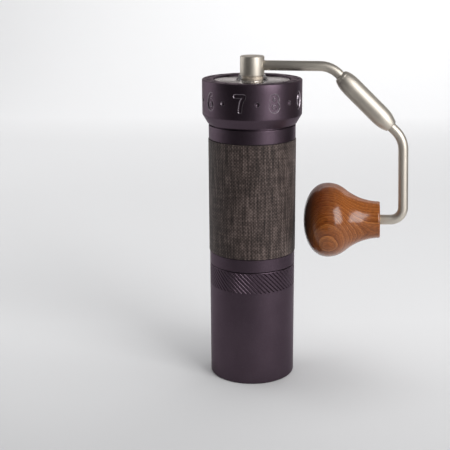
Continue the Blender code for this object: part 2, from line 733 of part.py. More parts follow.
FOLD_DIRECTION = Vector((math.cos(FOLD_ANGLE), 0, -math.sin(FOLD_ANGLE)))
UPPER_CORNER_POINT = Vector((ARM_REACH, 0, ARM_HEIGHT))
LOWER_CORNER_POINT = UPPER_CORNER_POINT + FOLD_DIRECTION * LOWER_CORNER
DOWN_DIRECTION = Vector((math.cos(2 * FOLD_ANGLE), 0, -math.sin(2 * FOLD_ANGLE)))
KNOB_CORNER_POINT = LOWER_CORNER_POINT + DOWN_DIRECTION * LOWER_ARM_LENGTH
KNOB_DIRECTION = Vector((-math.sin(2 * FOLD_ANGLE), 0, -math.cos(2 * FOLD_ANGLE)))
UPPER_ARM_END = BARREL_START + 11 * MM
PIVOT_START = BARREL_START + 21 * MM
SPINDLE_END = KNOB_OFFSET + 28 * MM
HUB_HOLE_START = 5.3 * MM
HUB_BOTTOM = 179 * MM
HUB_CLIP_SLOT = (180.2 * MM, 181.5 * MM)
HUB_SLOT_DEPTH = 0.7 * MM
HUB_GROOVE = (186.2 * MM, 187.3 * MM)
HUB_GROOVE_DEPTH = 0.5 * MM
HUB_CLIP_RADIUS = 9 * MM
SOCKET_TOP = 195 * MM


def build_hub():
    """The crank's upright post: a hexagonal socket under it and a hole in its side for the arm."""
    slot_low, slot_high = HUB_CLIP_SLOT
    groove_low, groove_high = HUB_GROOVE
    outline = fillet([
        (0, HUB_TOP),
        (HUB_RADIUS, HUB_TOP, 0.8 * MM),
        (HUB_RADIUS, groove_high),
        (HUB_RADIUS - HUB_GROOVE_DEPTH, groove_high),
        (HUB_RADIUS - HUB_GROOVE_DEPTH, groove_low),
        (HUB_RADIUS, groove_low),
        (HUB_RADIUS, slot_high),
        (HUB_RADIUS - HUB_SLOT_DEPTH, slot_high),
        (HUB_RADIUS - HUB_SLOT_DEPTH, slot_low),
        (HUB_RADIUS, slot_low),
        (HUB_RADIUS, HUB_BOTTOM, EDGE_FILLET),
        (0, HUB_BOTTOM),
    ], segments=2)
    hub = turned("crank_hub", outline, NICKEL, MIDDLE)
    socket_radius = HEX_RADIUS + EDGE_FILLET
    socket = prism("hex_socket", 6, socket_radius, HUB_BOTTOM - OVERCUT, SOCKET_TOP, NICKEL)
    combine(hub, socket, "DIFFERENCE")
    along_x = Matrix.Translation((0, 0, ARM_HEIGHT)) @ Matrix.Rotation(math.pi / 2, 4, "Y")
    hole_end = HUB_RADIUS + OVERCUT
    hole = prism("arm_hole", SMALL, ROD_RADIUS + ROD_CLEARANCE, HUB_HOLE_START, hole_end, NICKEL, along_x)
    combine(hub, hole, "DIFFERENCE")
    split_ring("hub_clip", HUB_RADIUS - 0.5 * MM, HUB_CLIP_RADIUS, slot_low + RING_CLEARANCE,
               slot_high - RING_CLEARANCE, WIDE_GAP, STEEL)


def build_upper_arm():
    start = Vector((HUB_HOLE_START + ROD_CLEARANCE, 0, ARM_HEIGHT))
    end = UPPER_CORNER_POINT + FOLD_DIRECTION * UPPER_ARM_END
    points = [start, *bend(start, UPPER_CORNER_POINT, end, ARM_BEND_RADIUS, CURVE_STEPS), end]
    wire("upper_arm", points, ROD_RADIUS, NICKEL, ROD_SIDES_LEVEL)


# places along the barrel, from its upper end
PLUG_SPAN = (1.9 * MM, 11.5 * MM)
SPRING_SPAN = (12 * MM, 22.2 * MM)
COLLAR_SPAN = (22.6 * MM, 25.4 * MM)
BUSH_SPAN = (25.8 * MM, BARREL_LENGTH - 4.8 * MM)
CHAMBER_RADIUS = 4.8 * MM


def build_swivel_barrel():
    """The thick sleeve on the slanted run of the crank: the lower arm swivels in it."""
    matrix = arm_matrix(BARREL_START, FOLD_ANGLE)
    wall = 3.25 * MM
    chamber = CHAMBER_RADIUS
    low_end = BARREL_LENGTH
    outline = [
        (3.7 * MM, 0), (4.7 * MM, 1.3 * MM), (5.5 * MM, 4 * MM), (5.9 * MM, 7 * MM),
        (BARREL_RADIUS, 9.5 * MM), (BARREL_RADIUS, low_end - 10 * MM), (5.8 * MM, low_end - 7.5 * MM),
        (5.2 * MM, low_end - 4.5 * MM), (4.5 * MM, low_end - 1.8 * MM), (3.6 * MM, low_end),
        (wall, low_end), (wall, low_end - 4.5 * MM), (chamber, low_end - 4.5 * MM),
        (chamber, 1.6 * MM), (wall, 1.6 * MM), (wall, 0),
    ]
    barrel = turned("swivel_barrel", outline, NICKEL, MIDDLE, matrix)
    barrel.modifiers["turn"].use_normal_flip = True
    bore = ROD_RADIUS + ROD_CLEARANCE
    outer = chamber - CLEARANCE
    washer("barrel_plug", bore, outer, *PLUG_SPAN, STEEL, SMALL, matrix)
    coil("swivel_spring", 3.9 * MM, 0.45 * MM, *SPRING_SPAN, 4, STEEL, matrix)
    washer("pivot_collar", bore, outer, *COLLAR_SPAN, STEEL, SMALL, matrix)
    washer("pivot_bush", bore, outer, *BUSH_SPAN, BRASS, SMALL, matrix)


def build_lower_arm():
    """The arm that folds. Its origin is on the swivel's axis."""
    start = UPPER_CORNER_POINT + FOLD_DIRECTION * PIVOT_START
    end = KNOB_CORNER_POINT + KNOB_DIRECTION * SPINDLE_END
    points = [
        start,
        *bend(start, LOWER_CORNER_POINT, KNOB_CORNER_POINT, ARM_BEND_RADIUS, CURVE_STEPS),
        *bend(LOWER_CORNER_POINT, KNOB_CORNER_POINT, end, KNOB_BEND_RADIUS, CURVE_STEPS),
        end,
    ]
    local = [point - start for point in points]
    wire("lower_arm", local, ROD_RADIUS, NICKEL, ROD_SIDES_LEVEL, Matrix.Translation(start))


# places along the knob, from its neck's face
KNOB_POCKET_END = 33 * MM
KNOB_BUSH_RADIUS = 6 * MM
KNOB_BUSH_SPAN = (0.6 * MM, 23 * MM)
SPINDLE_COLLAR_SPAN = (23.5 * MM, 26.5 * MM)
SPINDLE_COLLAR_RADIUS = 5.2 * MM


def knob_profile():
    """(distance from the neck's face, radius) along the knob, neck first."""
    return [
        (0.0, NECK_RADIUS - 1.5 * MM), (0.4 * MM, NECK_RADIUS - 0.2 * MM), (2.5 * MM, NECK_RADIUS),
        (8 * MM, 12.1 * MM), (11.5 * MM, 13.2 * MM), (15 * MM, 14.8 * MM), (18.7 * MM, 17 * MM),
        (22.4 * MM, 19.9 * MM), (26 * MM, 21.8 * MM), (29.5 * MM, 22.6 * MM), (32 * MM, KNOB_RADIUS),
        (35.5 * MM, 22.2 * MM), (38.8 * MM, 20.5 * MM), (41.6 * MM, 17.8 * MM), (44 * MM, 13.7 * MM),
        (45.6 * MM, 8.6 * MM), (46.3 * MM, 4.2 * MM), (KNOB_LENGTH, 0),
    ]


def build_knob():
    """The wooden knob: it turns on the arm's lower end, in a brass bush that a collar keeps on."""
    side = Vector((0, 1, 0))
    matrix = Matrix((side.cross(KNOB_DIRECTION), side, KNOB_DIRECTION)).transposed().to_4x4()
    matrix.translation = KNOB_CORNER_POINT + KNOB_DIRECTION * KNOB_OFFSET
    pocket = [(0, KNOB_POCKET_END), (KNOB_BUSH_RADIUS, KNOB_POCKET_END), (KNOB_BUSH_RADIUS, 0)]
    outline = pocket + [(radius, distance) for distance, radius in knob_profile()]
    knob = turned("wooden_knob", outline, WOOD, KNOB_FACETS, matrix)
    knob.modifiers["turn"].use_normal_flip = True
    bore = ROD_RADIUS + ROD_CLEARANCE
    washer("knob_bush", bore, KNOB_BUSH_RADIUS - CLEARANCE, *KNOB_BUSH_SPAN, BRASS, SMALL, matrix)
    washer("spindle_collar", bore, SPINDLE_COLLAR_RADIUS, *SPINDLE_COLLAR_SPAN, STEEL, SMALL, matrix)


# ---- catch cup -------------------------------------------------------------------------------
CUP_BORE = 24.95 * MM
CUP_LEDGE = 58 * MM
CUP_INNER_RADIUS = 24 * MM
CUP_FLOOR = 2 * MM
CUP_INNER_FILLET = 3 * MM
CUP_BASE_FILLET = 1 * MM
CARRIER_RING_OUTER = 24.65 * MM
CARRIER_RING_INNER = 21 * MM
CARRIER_RING_TOP = 63.6 * MM
MAGNET_SLOT_INNER = 21.7 * MM
MAGNET_SLOT_OUTER = 24 * MM
MAGNET_SLOT_BOTTOM = 60.3 * MM


def build_catch_cup():
    outline = fillet([
        (0, CUP_FLOOR),
        (CUP_INNER_RADIUS, CUP_FLOOR, CUP_INNER_FILLET),
        (CUP_INNER_RADIUS, CUP_LEDGE),
        (CUP_BORE, CUP_LEDGE),
        (CUP_BORE, CUP_TOP, EDGE_FILLET),
        (BODY_RADIUS, CUP_TOP, EDGE_FILLET),
        (BODY_RADIUS, 0, CUP_BASE_FILLET),
        (0, 0),
    ], segments=2)
    turned("catch_cup", outline, ANODISED)


def build_magnet():
    """The ring magnet that holds the cup on, and the plastic channel that it sits in."""
    bottom = CUP_LEDGE + CLEARANCE
    turned("magnet_carrier", [
        (CARRIER_RING_OUTER, CARRIER_RING_TOP),
        (CARRIER_RING_OUTER, bottom),
        (CARRIER_RING_INNER, bottom),
        (CARRIER_RING_INNER, CARRIER_RING_TOP),
        (MAGNET_SLOT_INNER, CARRIER_RING_TOP),
        (MAGNET_SLOT_INNER, MAGNET_SLOT_BOTTOM),
        (MAGNET_SLOT_OUTER, MAGNET_SLOT_BOTTOM),
        (MAGNET_SLOT_OUTER, CARRIER_RING_TOP),
    ], BLACK_PLASTIC)
    inner = MAGNET_SLOT_INNER + RING_CLEARANCE
    outer = MAGNET_SLOT_OUTER - RING_CLEARANCE
    low = MAGNET_SLOT_BOTTOM + CLEARANCE
    washer("magnet_ring", inner, outer, low, CARRIER_RING_TOP - RING_CLEARANCE, MAGNET)


PRELOAD_COIL_RADIUS = 5.7 * MM
PRELOAD_WIRE_RADIUS = 0.5 * MM
PRELOAD_TOP = 99.3 * MM


def build_preload_spring():
    """The spring that presses the inner burr down, away from play in the thread."""
    bottom = BURR_TOP + CLEARANCE
    coil("preload_spring", PRELOAD_COIL_RADIUS, PRELOAD_WIRE_RADIUS, bottom, PRELOAD_TOP, 3.5, STEEL)


# ---- assembly --------------------------------------------------------------------------------
build_body_tube()
build_grip_sleeve()
build_bearing("lower_bearing", LOWER_BEARING_BOTTOM)
build_bearing("upper_bearing", UPPER_BEARING_BOTTOM)
build_lower_spider()
build_dial()
build_carrier()
build_shaft()
build_inner_burr()
build_outer_burr()
build_burr_retaining_ring()
build_preload_spring()
build_lid()
build_hub()
build_upper_arm()
build_swivel_barrel()
build_lower_arm()
build_knob()
build_catch_cup()
build_magnet()
for part in GRINDER.objects:
    if part.type == "MESH" and not part.modifiers:
        smooth_round(part)
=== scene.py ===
import json
import math

import bpy
import numpy as np
from mathutils import Matrix, Vector


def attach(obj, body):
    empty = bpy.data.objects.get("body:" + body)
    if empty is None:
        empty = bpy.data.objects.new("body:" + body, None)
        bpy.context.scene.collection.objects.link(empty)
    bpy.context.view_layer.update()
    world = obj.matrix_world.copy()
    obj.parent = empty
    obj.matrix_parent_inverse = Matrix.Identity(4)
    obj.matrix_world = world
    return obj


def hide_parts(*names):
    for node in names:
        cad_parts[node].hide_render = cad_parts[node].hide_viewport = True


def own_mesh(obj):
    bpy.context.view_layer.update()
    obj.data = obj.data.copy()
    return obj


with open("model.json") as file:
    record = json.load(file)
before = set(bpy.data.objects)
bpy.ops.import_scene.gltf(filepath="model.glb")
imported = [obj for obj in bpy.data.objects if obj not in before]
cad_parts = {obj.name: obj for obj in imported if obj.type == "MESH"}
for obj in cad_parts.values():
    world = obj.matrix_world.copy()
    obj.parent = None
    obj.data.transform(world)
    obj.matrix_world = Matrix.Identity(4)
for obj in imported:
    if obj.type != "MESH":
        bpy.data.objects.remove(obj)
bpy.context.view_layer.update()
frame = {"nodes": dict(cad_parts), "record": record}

# Outlines are in mm, with heights from the floor, and become metres through MM.
MM = 0.001
BODY_RADIUS = 26.25
DIAL_RADIUS = 29.95
# How far the camera stands round from the front, in degrees.
VIEW_TURN = 7.18


# ---- camera --------------------------------------------------------------------------------------
def make_camera():
    data = bpy.data.cameras.new("camera")
    data.lens = 80
    data.sensor_width = 36
    data.shift_x = -0.0603
    camera = bpy.data.objects.new("camera", data)
    camera.location = (0.0746, -0.5925, 0.2597)
    camera.rotation_euler = (math.radians(90 - 15.41), 0, math.radians(VIEW_TURN))
    bpy.context.scene.collection.objects.link(camera)
    bpy.context.scene.camera = camera


make_camera()


# ---- mesh helpers --------------------------------------------------------------------------------
def make_object(name, mesh, slot, body, *nodes):
    """Adds a finished piece: it takes its slot's look, rides on the body and stands for the CAD nodes."""
    obj = bpy.data.objects.new(name, mesh)
    bpy.context.scene.collection.objects.link(obj)
    mesh.materials.append(LOOKS[slot])
    mesh.shade_smooth()
    mesh.set_sharp_from_angle(angle=math.radians(38))
    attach(obj, body)
    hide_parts(*nodes)
    return obj


def skin(name, points, caps=False):
    """A closed mesh over a grid of points [row, column, xyz]. Its columns close round.
    The rows close too, unless the two ends get caps."""
    rows, columns = points.shape[:2]
    index = np.arange(rows * columns).reshape(rows, columns)
    beside = np.roll(index, -1, axis=1)
    below = np.roll(index, -1, axis=0)
    diagonal = np.roll(beside, -1, axis=0)
    last = rows - 1 if caps else rows
    quads = np.stack([index, below, diagonal, beside], axis=2)[:last].reshape(-1, 4)
    faces = quads.tolist()
    if caps:
        faces.append(index[0].tolist())
        faces.append(index[-1, ::-1].tolist())
    mesh = bpy.data.meshes.new(name)
    mesh.from_pydata(points.reshape(-1, 3).tolist(), [], faces)
    mesh.validate()
    return mesh


def around(profile, columns, twist=None):
    """Grid of points for a profile of (radius, height) turned about Z. twist shifts each row's angle."""
    profile = np.array(profile)
    angles = np.arange(columns) * math.tau / columns
    angles = angles[None, :] + (np.zeros(len(profile)) if twist is None else twist)[:, None]
    radii = np.broadcast_to(profile[:, :1], angles.shape)
    heights = np.broadcast_to(profile[:, 1:2], angles.shape)
    return np.stack([radii * np.cos(angles), radii * np.sin(angles), heights], axis=2)


def fillet(points, segments):
    """Rounds corners. Each point is (radius, height) or (radius, height, fillet)."""
    line = []
    count = len(points)
    for index, point in enumerate(points):
        corner = Vector(point[:2])
        size = point[2] if len(point) > 2 else 0
        if not size:
            line.append(tuple(corner))
            continue
        before = (Vector(points[index - 1][:2]) - corner).normalized()
        after = (Vector(points[(index + 1) % count][:2]) - corner).normalized()
        half = math.acos(max(-1, min(1, before.dot(after)))) / 2
        cut = size / math.tan(half)
        centre = corner + (before + after).normalized() * (size / math.sin(half))
        start = corner + before * cut - centre
        end = corner + after * cut - centre
        turn = start.angle_signed(end)
        for step in range(segments + 1):
            spoke = Matrix.Rotation(-turn * step / segments, 2) @ start
            line.append(tuple(centre + spoke))
    return line


def densify(points, step):
    """Adds points along each run of the line, so that none is longer than the step."""
    line = []
    for first, second in zip(points, points[1:]):
        first, second = np.array(first), np.array(second)
        count = max(1, math.ceil(np.linalg.norm(second - first) / step))
        line += [tuple(first + (second - first) * i / count) for i in range(count)]
    return line + [tuple(points[-1])]


def scaled(points):
    """The same points, from mm to metres."""
    return [tuple(value * MM for value in point) for point in points]


def axis_matrix(start, direction):
    """A frame at the start, with its Z along the direction and its Y along the world's Y."""
    direction = direction.normalized()
    side = Vector((0, 1, 0))
    matrix = Matrix((side.cross(direction), side, direction)).transposed().to_4x4()
    matrix.translation = start
    return matrix


def tube(name, path, radius, sides=32, end_round=0.4 * MM):
    """A round rod along a path in the plane y = 0, with softly rounded ends."""
    path = [Vector(point) for point in path]
    first = (path[1] - path[0]).normalized()
    last = (path[-1] - path[-2]).normalized()
    centres = [path[0], path[0] + first * end_round * 0.3, path[0] + first * end_round, *path[1:-1],
               path[-1] - last * end_round, path[-1] - last * end_round * 0.3, path[-1]]
    radii = [radius - end_round, radius - end_round * 0.3] + [radius] * (len(centres) - 4)
    radii += [radius - end_round * 0.3, radius - end_round]
    rows = []
    for index, (centre, size) in enumerate(zip(centres, radii)):
        before = centres[max(0, index - 1)]
        after = centres[min(len(centres) - 1, index + 1)]
        along = (after - before).normalized()
        side = Vector((0, 1, 0))
        other = along.cross(side)
        row = []
        for step in range(sides):
            angle = math.tau * step / sides
            row.append(centre + side * size * math.cos(angle) + other * size * math.sin(angle))
        rows.append(row)
    grid = np.array(rows)[:, ::-1]
    return skin(name, grid, caps=True)


def bend(before, corner, after, radius, steps):
    """Points of the arc that rounds off a corner of a path."""
    first = (before - corner).normalized()
    second = (after - corner).normalized()
    half = first.angle(second) / 2
    centre = corner + (first + second).normalized() * (radius / math.sin(half))
    start = corner + first * (radius / math.tan(half)) - centre
    end = corner + second * (radius / math.tan(half)) - centre
    return [centre + start.slerp(end, step / steps) * radius for step in range(steps + 1)]


# ---- looks ---------------------------------------------------------------------------------------
class Look:
    """A node material on Principled, with short calls for the nodes that it needs."""

    def __init__(self, name, **values):
        self.material = bpy.data.materials.new(name)
        self.material.use_nodes = True
        self.tree = self.material.node_tree
        self.shader = self.tree.nodes["Principled BSDF"]
        for socket, value in values.items():
            socket = socket.replace("_", " ").title().replace("Ior", "IOR")
            self.shader.inputs[socket].default_value = value
        self.place = self.node("ShaderNodeTexCoord").outputs["Object"]

    def node(self, kind, **settings):
        node = self.tree.nodes.new(kind)
        for name, value in settings.items():
            setattr(node, name, value)
        return node

    def link(self, source, target):
        self.tree.links.new(source, target)

    def stretch(self, scale):
        mapping = self.node("ShaderNodeMapping")
        mapping.inputs["Scale"].default_value = scale
        self.link(self.place, mapping.inputs["Vector"])
        return mapping.outputs["Vector"]

    def noise(self, scale, detail=2.0, roughness=0.5, vector=None):
        noise = self.node("ShaderNodeTexNoise")
        noise.inputs["Scale"].default_value = scale
        noise.inputs["Detail"].default_value = detail
        noise.inputs["Roughness"].default_value = roughness
        self.link(vector or self.place, noise.inputs["Vector"])
        return noise.outputs["Fac"]

    def maths(self, operation, first, second=None):
        node = self.node("ShaderNodeMath", operation=operation)
        for socket, value in zip(node.inputs, (first, second)):
            if value is None:
                continue
            if isinstance(value, (int, float)):
                socket.default_value = value
            else:
                self.link(value, socket)
        return node.outputs[0]

    def add(self, first, second):
        return self.maths("ADD", first, second)

    def times(self, first, second):
        return self.maths("MULTIPLY", first, second)

    def axes(self):
        """The place's x, y and z."""
        node = self.node("ShaderNodeSeparateXYZ")
        self.link(self.place, node.inputs[0])
        return node.outputs

    def distance_along(self, direction, start):
        """How far the place lies from the start, measured along the direction."""
        shift = self.node("ShaderNodeVectorMath", operation="SUBTRACT")
        shift.inputs[1].default_value = start
        self.link(self.place, shift.inputs[0])
        measure = self.node("ShaderNodeVectorMath", operation="DOT_PRODUCT")
        measure.inputs[1].default_value = direction
        self.link(shift.outputs[0], measure.inputs[0])
        return measure.outputs["Value"]

    def span(self, value, low, high, to_low, to_high):
        node = self.node("ShaderNodeMapRange", clamp=True)
        for socket, number in zip(node.inputs[1:5], (low, high, to_low, to_high)):
            socket.default_value = number
        self.link(value, node.inputs[0])
        return node.outputs[0]

    def ramp(self, value, *stops):
        node = self.node("ShaderNodeValToRGB")
        elements = node.color_ramp.elements
        while len(elements) < len(stops):
            elements.new(0.5)
        for element, (position, colour) in zip(elements, stops):
            element.position = position
            element.color = (*colour, 1)
        self.link(value, node.inputs[0])
        return node.outputs[0]

    def blend(self, factor, first, second, mode="MIX"):
        node = self.node("ShaderNodeMix", data_type="RGBA", blend_type=mode)
        for socket, value in ((node.inputs[0], factor), (node.inputs[6], first), (node.inputs[7], second)):
            if isinstance(value, tuple):
                socket.default_value = (*value, 1)
            elif isinstance(value, (int, float)):
                socket.default_value = value
            else:
                self.link(value, socket)
        return node.outputs[2]

    def colour(self, value):
        self.link(value, self.shader.inputs["Base Color"])

    def roughness(self, value):
        self.link(value, self.shader.inputs["Roughness"])

    def bump(self, height, distance, strength=1.0):
        node = self.node("ShaderNodeBump")
        node.inputs["Strength"].default_value = strength
        node.inputs["Distance"].default_value = distance
        self.link(height, node.inputs["Height"])
        self.link(node.outputs["Normal"], self.shader.inputs["Normal"])


def anodised_look():
    """Fine matt grain with paler specks, and a brighter colour on the cut edges of the figures, dots and
    dimples: partly bare metal, partly a painted highlight.
    """
    look = Look("anodised_aluminium", metallic=0.92, ior=1.5)
    look.shader.inputs["Specular Tint"].default_value = (0.75, 0.7, 0.74, 1)
    broad = look.noise(60, 3, 0.5)
    grain = look.noise(5200, 2, 0.6)
    base = look.ramp(broad, (0.3, (0.072, 0.050, 0.066)), (0.7, (0.084, 0.059, 0.077)))
    speck = look.span(look.noise(1900, 2, 0.5), 0.55, 0.75, 0, 0.35)
    body = look.blend(speck, base, (0.12, 0.095, 0.115))
    # The cut edges get a brighter colour: bare metal, and partly a painted highlight.
    rim = look.node("ShaderNodeAttribute", attribute_name="bare_edge_highlight").outputs["Fac"]
    look.colour(look.blend(rim, body, (0.44, 0.39, 0.43)))
    look.roughness(look.span(grain, 0.3, 0.7, 0.34, 0.44))
    look.bump(grain, 0.012 * MM, 0.5)
    return look.material


def nickel_look():
    """Satin nickel with fine lines along the rods."""
    look = Look("satin_nickel", metallic=1.0)
    broad = look.noise(90, 3, 0.5)
    lines = look.noise(1, 3, 0.6, look.stretch((2600, 2600, 260)))
    grain = look.noise(4300, 2, 0.6)
    look.colour(look.ramp(broad, (0.3, (0.59, 0.545, 0.48)), (0.7, (0.65, 0.60, 0.525))))
    mixed = look.add(look.times(lines, 0.5), look.times(grain, 0.5))
    look.roughness(look.span(mixed, 0.3, 0.7, 0.47, 0.57))
    look.bump(mixed, 0.01 * MM, 0.5)
    return look.material


def turned_steel_look(name, colour, low, high):
    """Metal with a lathe's fine rings about the Z axis. Low and high are its roughness."""
    look = Look(name, metallic=1.0)
    x, y, z = look.axes()
    radius = look.maths("SQRT", look.add(look.maths("POWER", x, 2), look.maths("POWER", y, 2)))
    marks = look.maths("SINE", look.add(look.times(radius, 9000), look.times(z, 7000)))
    grain = look.noise(2500, 3, 0.6)
    darker = tuple(value * 0.82 for value in colour)
    look.colour(look.ramp(look.noise(150, 3, 0.6), (0.3, darker), (0.7, colour)))
    look.roughness(look.span(grain, 0.3, 0.7, low, high))
    look.bump(look.add(look.times(marks, 0.4), grain), 0.01 * MM, 0.4)
    return look.material


WEAVE_AROUND = 160
WEAVE_PITCH = 1.05 * MM


def sleeve_look():
    """Dark rubber with a woven pattern: crossing threads, which wander and change in thickness."""
    look = Look("grip_rubber", metallic=0.0)
    look.shader.inputs["Specular IOR Level"].default_value = 0.25
    look.shader.inputs["Sheen Weight"].default_value = 0.06
    look.shader.inputs["Sheen Roughness"].default_value = 0.5
    x, y, z = look.axes()
    drift = look.times(look.noise(1, 2, 0.5, look.stretch((60, 60, 160))), 7.0)
    column = look.add(look.times(look.maths("ARCTAN2", y, x), WEAVE_AROUND / 2), drift)
    row = look.add(look.times(z, math.pi / WEAVE_PITCH), drift)
    over = look.times(look.maths("SINE", column), look.maths("SINE", row))
    slub_up = look.noise(1, 2, 0.6, look.stretch((800, 800, 60)))
    slub_round = look.noise(1, 2, 0.6, look.stretch((130, 130, 850)))
    threads = look.add(look.times(slub_up, 0.66), look.times(slub_round, 0.34))
    height = look.add(look.times(over, 0.09), threads)
    look.colour(look.ramp(height, (0.3, (0.012, 0.008, 0.007)), (0.5, (0.048, 0.034, 0.030)),
                          (0.7, (0.145, 0.108, 0.097))))
    look.roughness(look.span(look.noise(1500, 2), 0.3, 0.7, 0.62, 0.8))
    look.bump(look.noise(3500, 2, 0.7), 0.03 * MM, 0.6)
    return look.material


RING_WIDTH = 1.75 * MM
FINE_WIDTH = 0.7 * MM


def wood_look(face, direction):
    """Flat-sawn, lacquered wood: growth rings as gently curved layers that face the lower front, with
    pale ring lines, fibres that run along the knob, and pores. Painted shade darkens its upper part
    towards the round end, and the round end itself. The face is the neck's end and the direction is
    the knob's axis."""
    look = Look("wood", metallic=0.0)
    look.shader.inputs["Specular IOR Level"].default_value = 0.1
    look.shader.inputs["Coat Weight"].default_value = 0.72
    look.shader.inputs["Coat Roughness"].default_value = 0.17
    middle = face + direction * 30 * MM
    layers = Vector((0.05, -0.905, -0.423)).normalized()
    depth = look.distance_along(layers, middle)
    across = look.distance_along(layers.cross(direction), middle)
    along = look.distance_along(direction, middle)
    upward = look.distance_along((0, 0, 1), middle)

    curve = look.times(look.maths("POWER", across, 2), 6.0)
    warp = look.times(look.noise(1, 2, 0.5, look.stretch((38, 95, 95))), 2.6 * MM)
    layer = look.add(look.add(depth, curve), warp)
    uneven = look.times(look.maths("SINE", look.times(layer, 720.0)), 0.28)
    ring = look.maths("FRACT", look.add(look.times(layer, 1 / RING_WIDTH), uneven))
    fine = look.maths("FRACT", look.times(layer, 1 / FINE_WIDTH))
    base = look.ramp(ring, (0.0, (0.32, 0.105, 0.022)), (0.08, (0.345, 0.122, 0.029)),
                     (0.2, (0.28, 0.085, 0.017)), (0.6, (0.235, 0.066, 0.011)), (0.94, (0.175, 0.044, 0.006)))
    broad = look.span(look.noise(1, 2, 0.5, look.stretch((60, 110, 110))), 0.35, 0.65, 0.0, 0.45)
    base = look.blend(broad, base, (0.25, 0.075, 0.014))
    # Painted shade: the upper part towards the round end is darkened.
    painted_upper_shade = look.times(look.span(along, -9 * MM, 5 * MM, 0, 0.8), look.span(upward, -5 * MM, 13 * MM, 0, 1))
    base = look.blend(painted_upper_shade, base, (0.075, 0.013, 0.002))
    # Painted shade: the round end is darkened.
    base = look.blend(look.span(along, 8 * MM, 14.5 * MM, 0, 0.82), base, (0.018, 0.007, 0.003))

    fibre = look.noise(1, 3, 0.65, look.stretch((260, 2600, 2600)))
    streak = look.times(look.span(fibre, 0.3, 0.7, 0.56, 1.36), look.span(fine, 0, 1, 1.18, 0.82))
    shade = look.node("ShaderNodeCombineXYZ")
    for socket in shade.inputs:
        look.link(streak, socket)
    tone = look.blend(1.0, base, shade.outputs[0], "MULTIPLY")
    pore = look.span(look.noise(1, 2, 0.5, look.stretch((520, 5200, 5200))), 0.6, 0.7, 0, 0.5)
    look.colour(look.blend(pore, tone, (0.045, 0.014, 0.007)))
    look.roughness(look.span(fibre, 0.3, 0.7, 0.3, 0.44))
    look.bump(look.maths("SUBTRACT", fibre, pore), 0.03 * MM, 0.3)
    return look.material


def clear_look():
    """Clear plastic with a faint tint, a little hazy in places."""
    look = Look("clear_plastic", roughness=0.06, ior=1.49)
    look.shader.inputs["Transmission Weight"].default_value = 1.0
    look.colour(look.ramp(look.noise(40, 2), (0.3, (0.84, 0.80, 0.77)), (0.7, (0.89, 0.85, 0.82))))
    look.roughness(look.span(look.noise(700, 3, 0.6), 0.3, 0.75, 0.05, 0.13))
    look.bump(look.noise(500, 2), 0.01 * MM, 0.2)
    return look.material


def plain_look(name, colour, low, high, metallic=0.0):
    """A mottled colour with a fine grain. Low and high are its roughness."""
    look = Look(name, metallic=metallic)
    darker = tuple(value * 0.75 for value in colour)
    look.colour(look.ramp(look.noise(120, 3, 0.6), (0.3, darker), (0.7, colour)))
    grain = look.noise(1800, 3, 0.6)
    look.roughness(look.span(grain, 0.3, 0.7, low, high))
    look.bump(grain, 0.02 * MM, 0.4)
    return look.material


# ---- the dial ------------------------------------------------------------------------------------
DIAL_TOP = 185.65
FIGURES = 9
FIGURE_STEP = 40
SEVEN_ANGLE = -97.3
FIGURE_MIDDLE = 174.5
FIGURE_BAND = 6.1
FIGURE_DEPTH = 0.6
DOT_MIDDLE = 174.2
DOT_RADIUS = 1.35
DOT_DEPTH = 1.0
DIMPLE_CIRCLE = 26.8
DIMPLE_RADIUS = 1.7
DIMPLE_DEPTH = 1.1


def arc(x, y, wide, high, start, end, steps=14):
    turns = [math.radians(start + (end - start) * i / steps) for i in range(steps + 1)]
    return [(x + wide * math.cos(a), y + high * math.sin(a)) for a in turns]


def figure_strokes(figure):
    """The centre lines of a figure's strokes, in mm about its middle."""
    tall = 4.35
    strokes = {
        0: [arc(0, 0, 2.3, tall, 0, 360, 28)],
        1: [[(-1.7, 2.7), (0.4, tall), (0.4, -tall)]],
        2: [[*arc(0, 1.8, 2.4, 2.55, 165, -38), (-2.4, -tall), (2.6, -tall)]],
        3: [[*arc(0, 2.15, 2.2, 2.2, 150, -90), *arc(0, -2.15, 2.5, 2.2, 90, -150)]],
        4: [[(1.2, -tall), (1.2, tall), (-2.7, -1.9), (2.7, -1.9)]],
        5: [[(2.2, tall), (-1.7, tall), (-2.0, 0.2), *arc(0, -1.65, 2.5, 3.0, 130, -150)]],
        6: [arc(0, -1.8, 2.25, 2.55, 0, 360, 24), arc(1.0, -1.6, 3.25, 5.9, 180, 84)],
        7: [[(-2.5, tall), (2.8, tall), (2.6, 3.5), (1.3, 1.2), (0.7, -1.4), (0.4, -tall)]],
        8: [arc(0, 2.35, 1.8, 2.0, 0, 360, 24), arc(0, -1.95, 2.3, 2.3, 0, 360, 24)],
    }
    return strokes[figure]


def distance_to_strokes(x, y, strokes):
    """How far each place is from the nearest stroke."""
    best = np.full(x.shape, 99.0)
    for stroke in strokes:
        for (x0, y0), (x1, y1) in zip(stroke, stroke[1:]):
            dx, dy = x1 - x0, y1 - y0
            share = np.clip(((x - x0) * dx + (y - y0) * dy) / (dx * dx + dy * dy), 0, 1)
            best = np.minimum(best, np.hypot(x - x0 - share * dx, y - y0 - share * dy))
    return best


def soft_step(value):
    value = np.clip(value, 0, 1)
    return value * value * (3 - 2 * value)


def hollow(away, radius, depth):
    """How deep a round hollow is at each distance from its middle."""
    return depth * np.sqrt(np.clip(1 - (away / radius) ** 2, 0, 1))


def line_at(away, place, width):
    """A soft line at this distance: 1 on it and 0 away from it."""
    return np.exp(-(((away - place) / width) ** 2))


def wrapped(angle):
    """The same angle between minus and plus half a turn."""
    return (angle + math.pi) % math.tau - math.pi


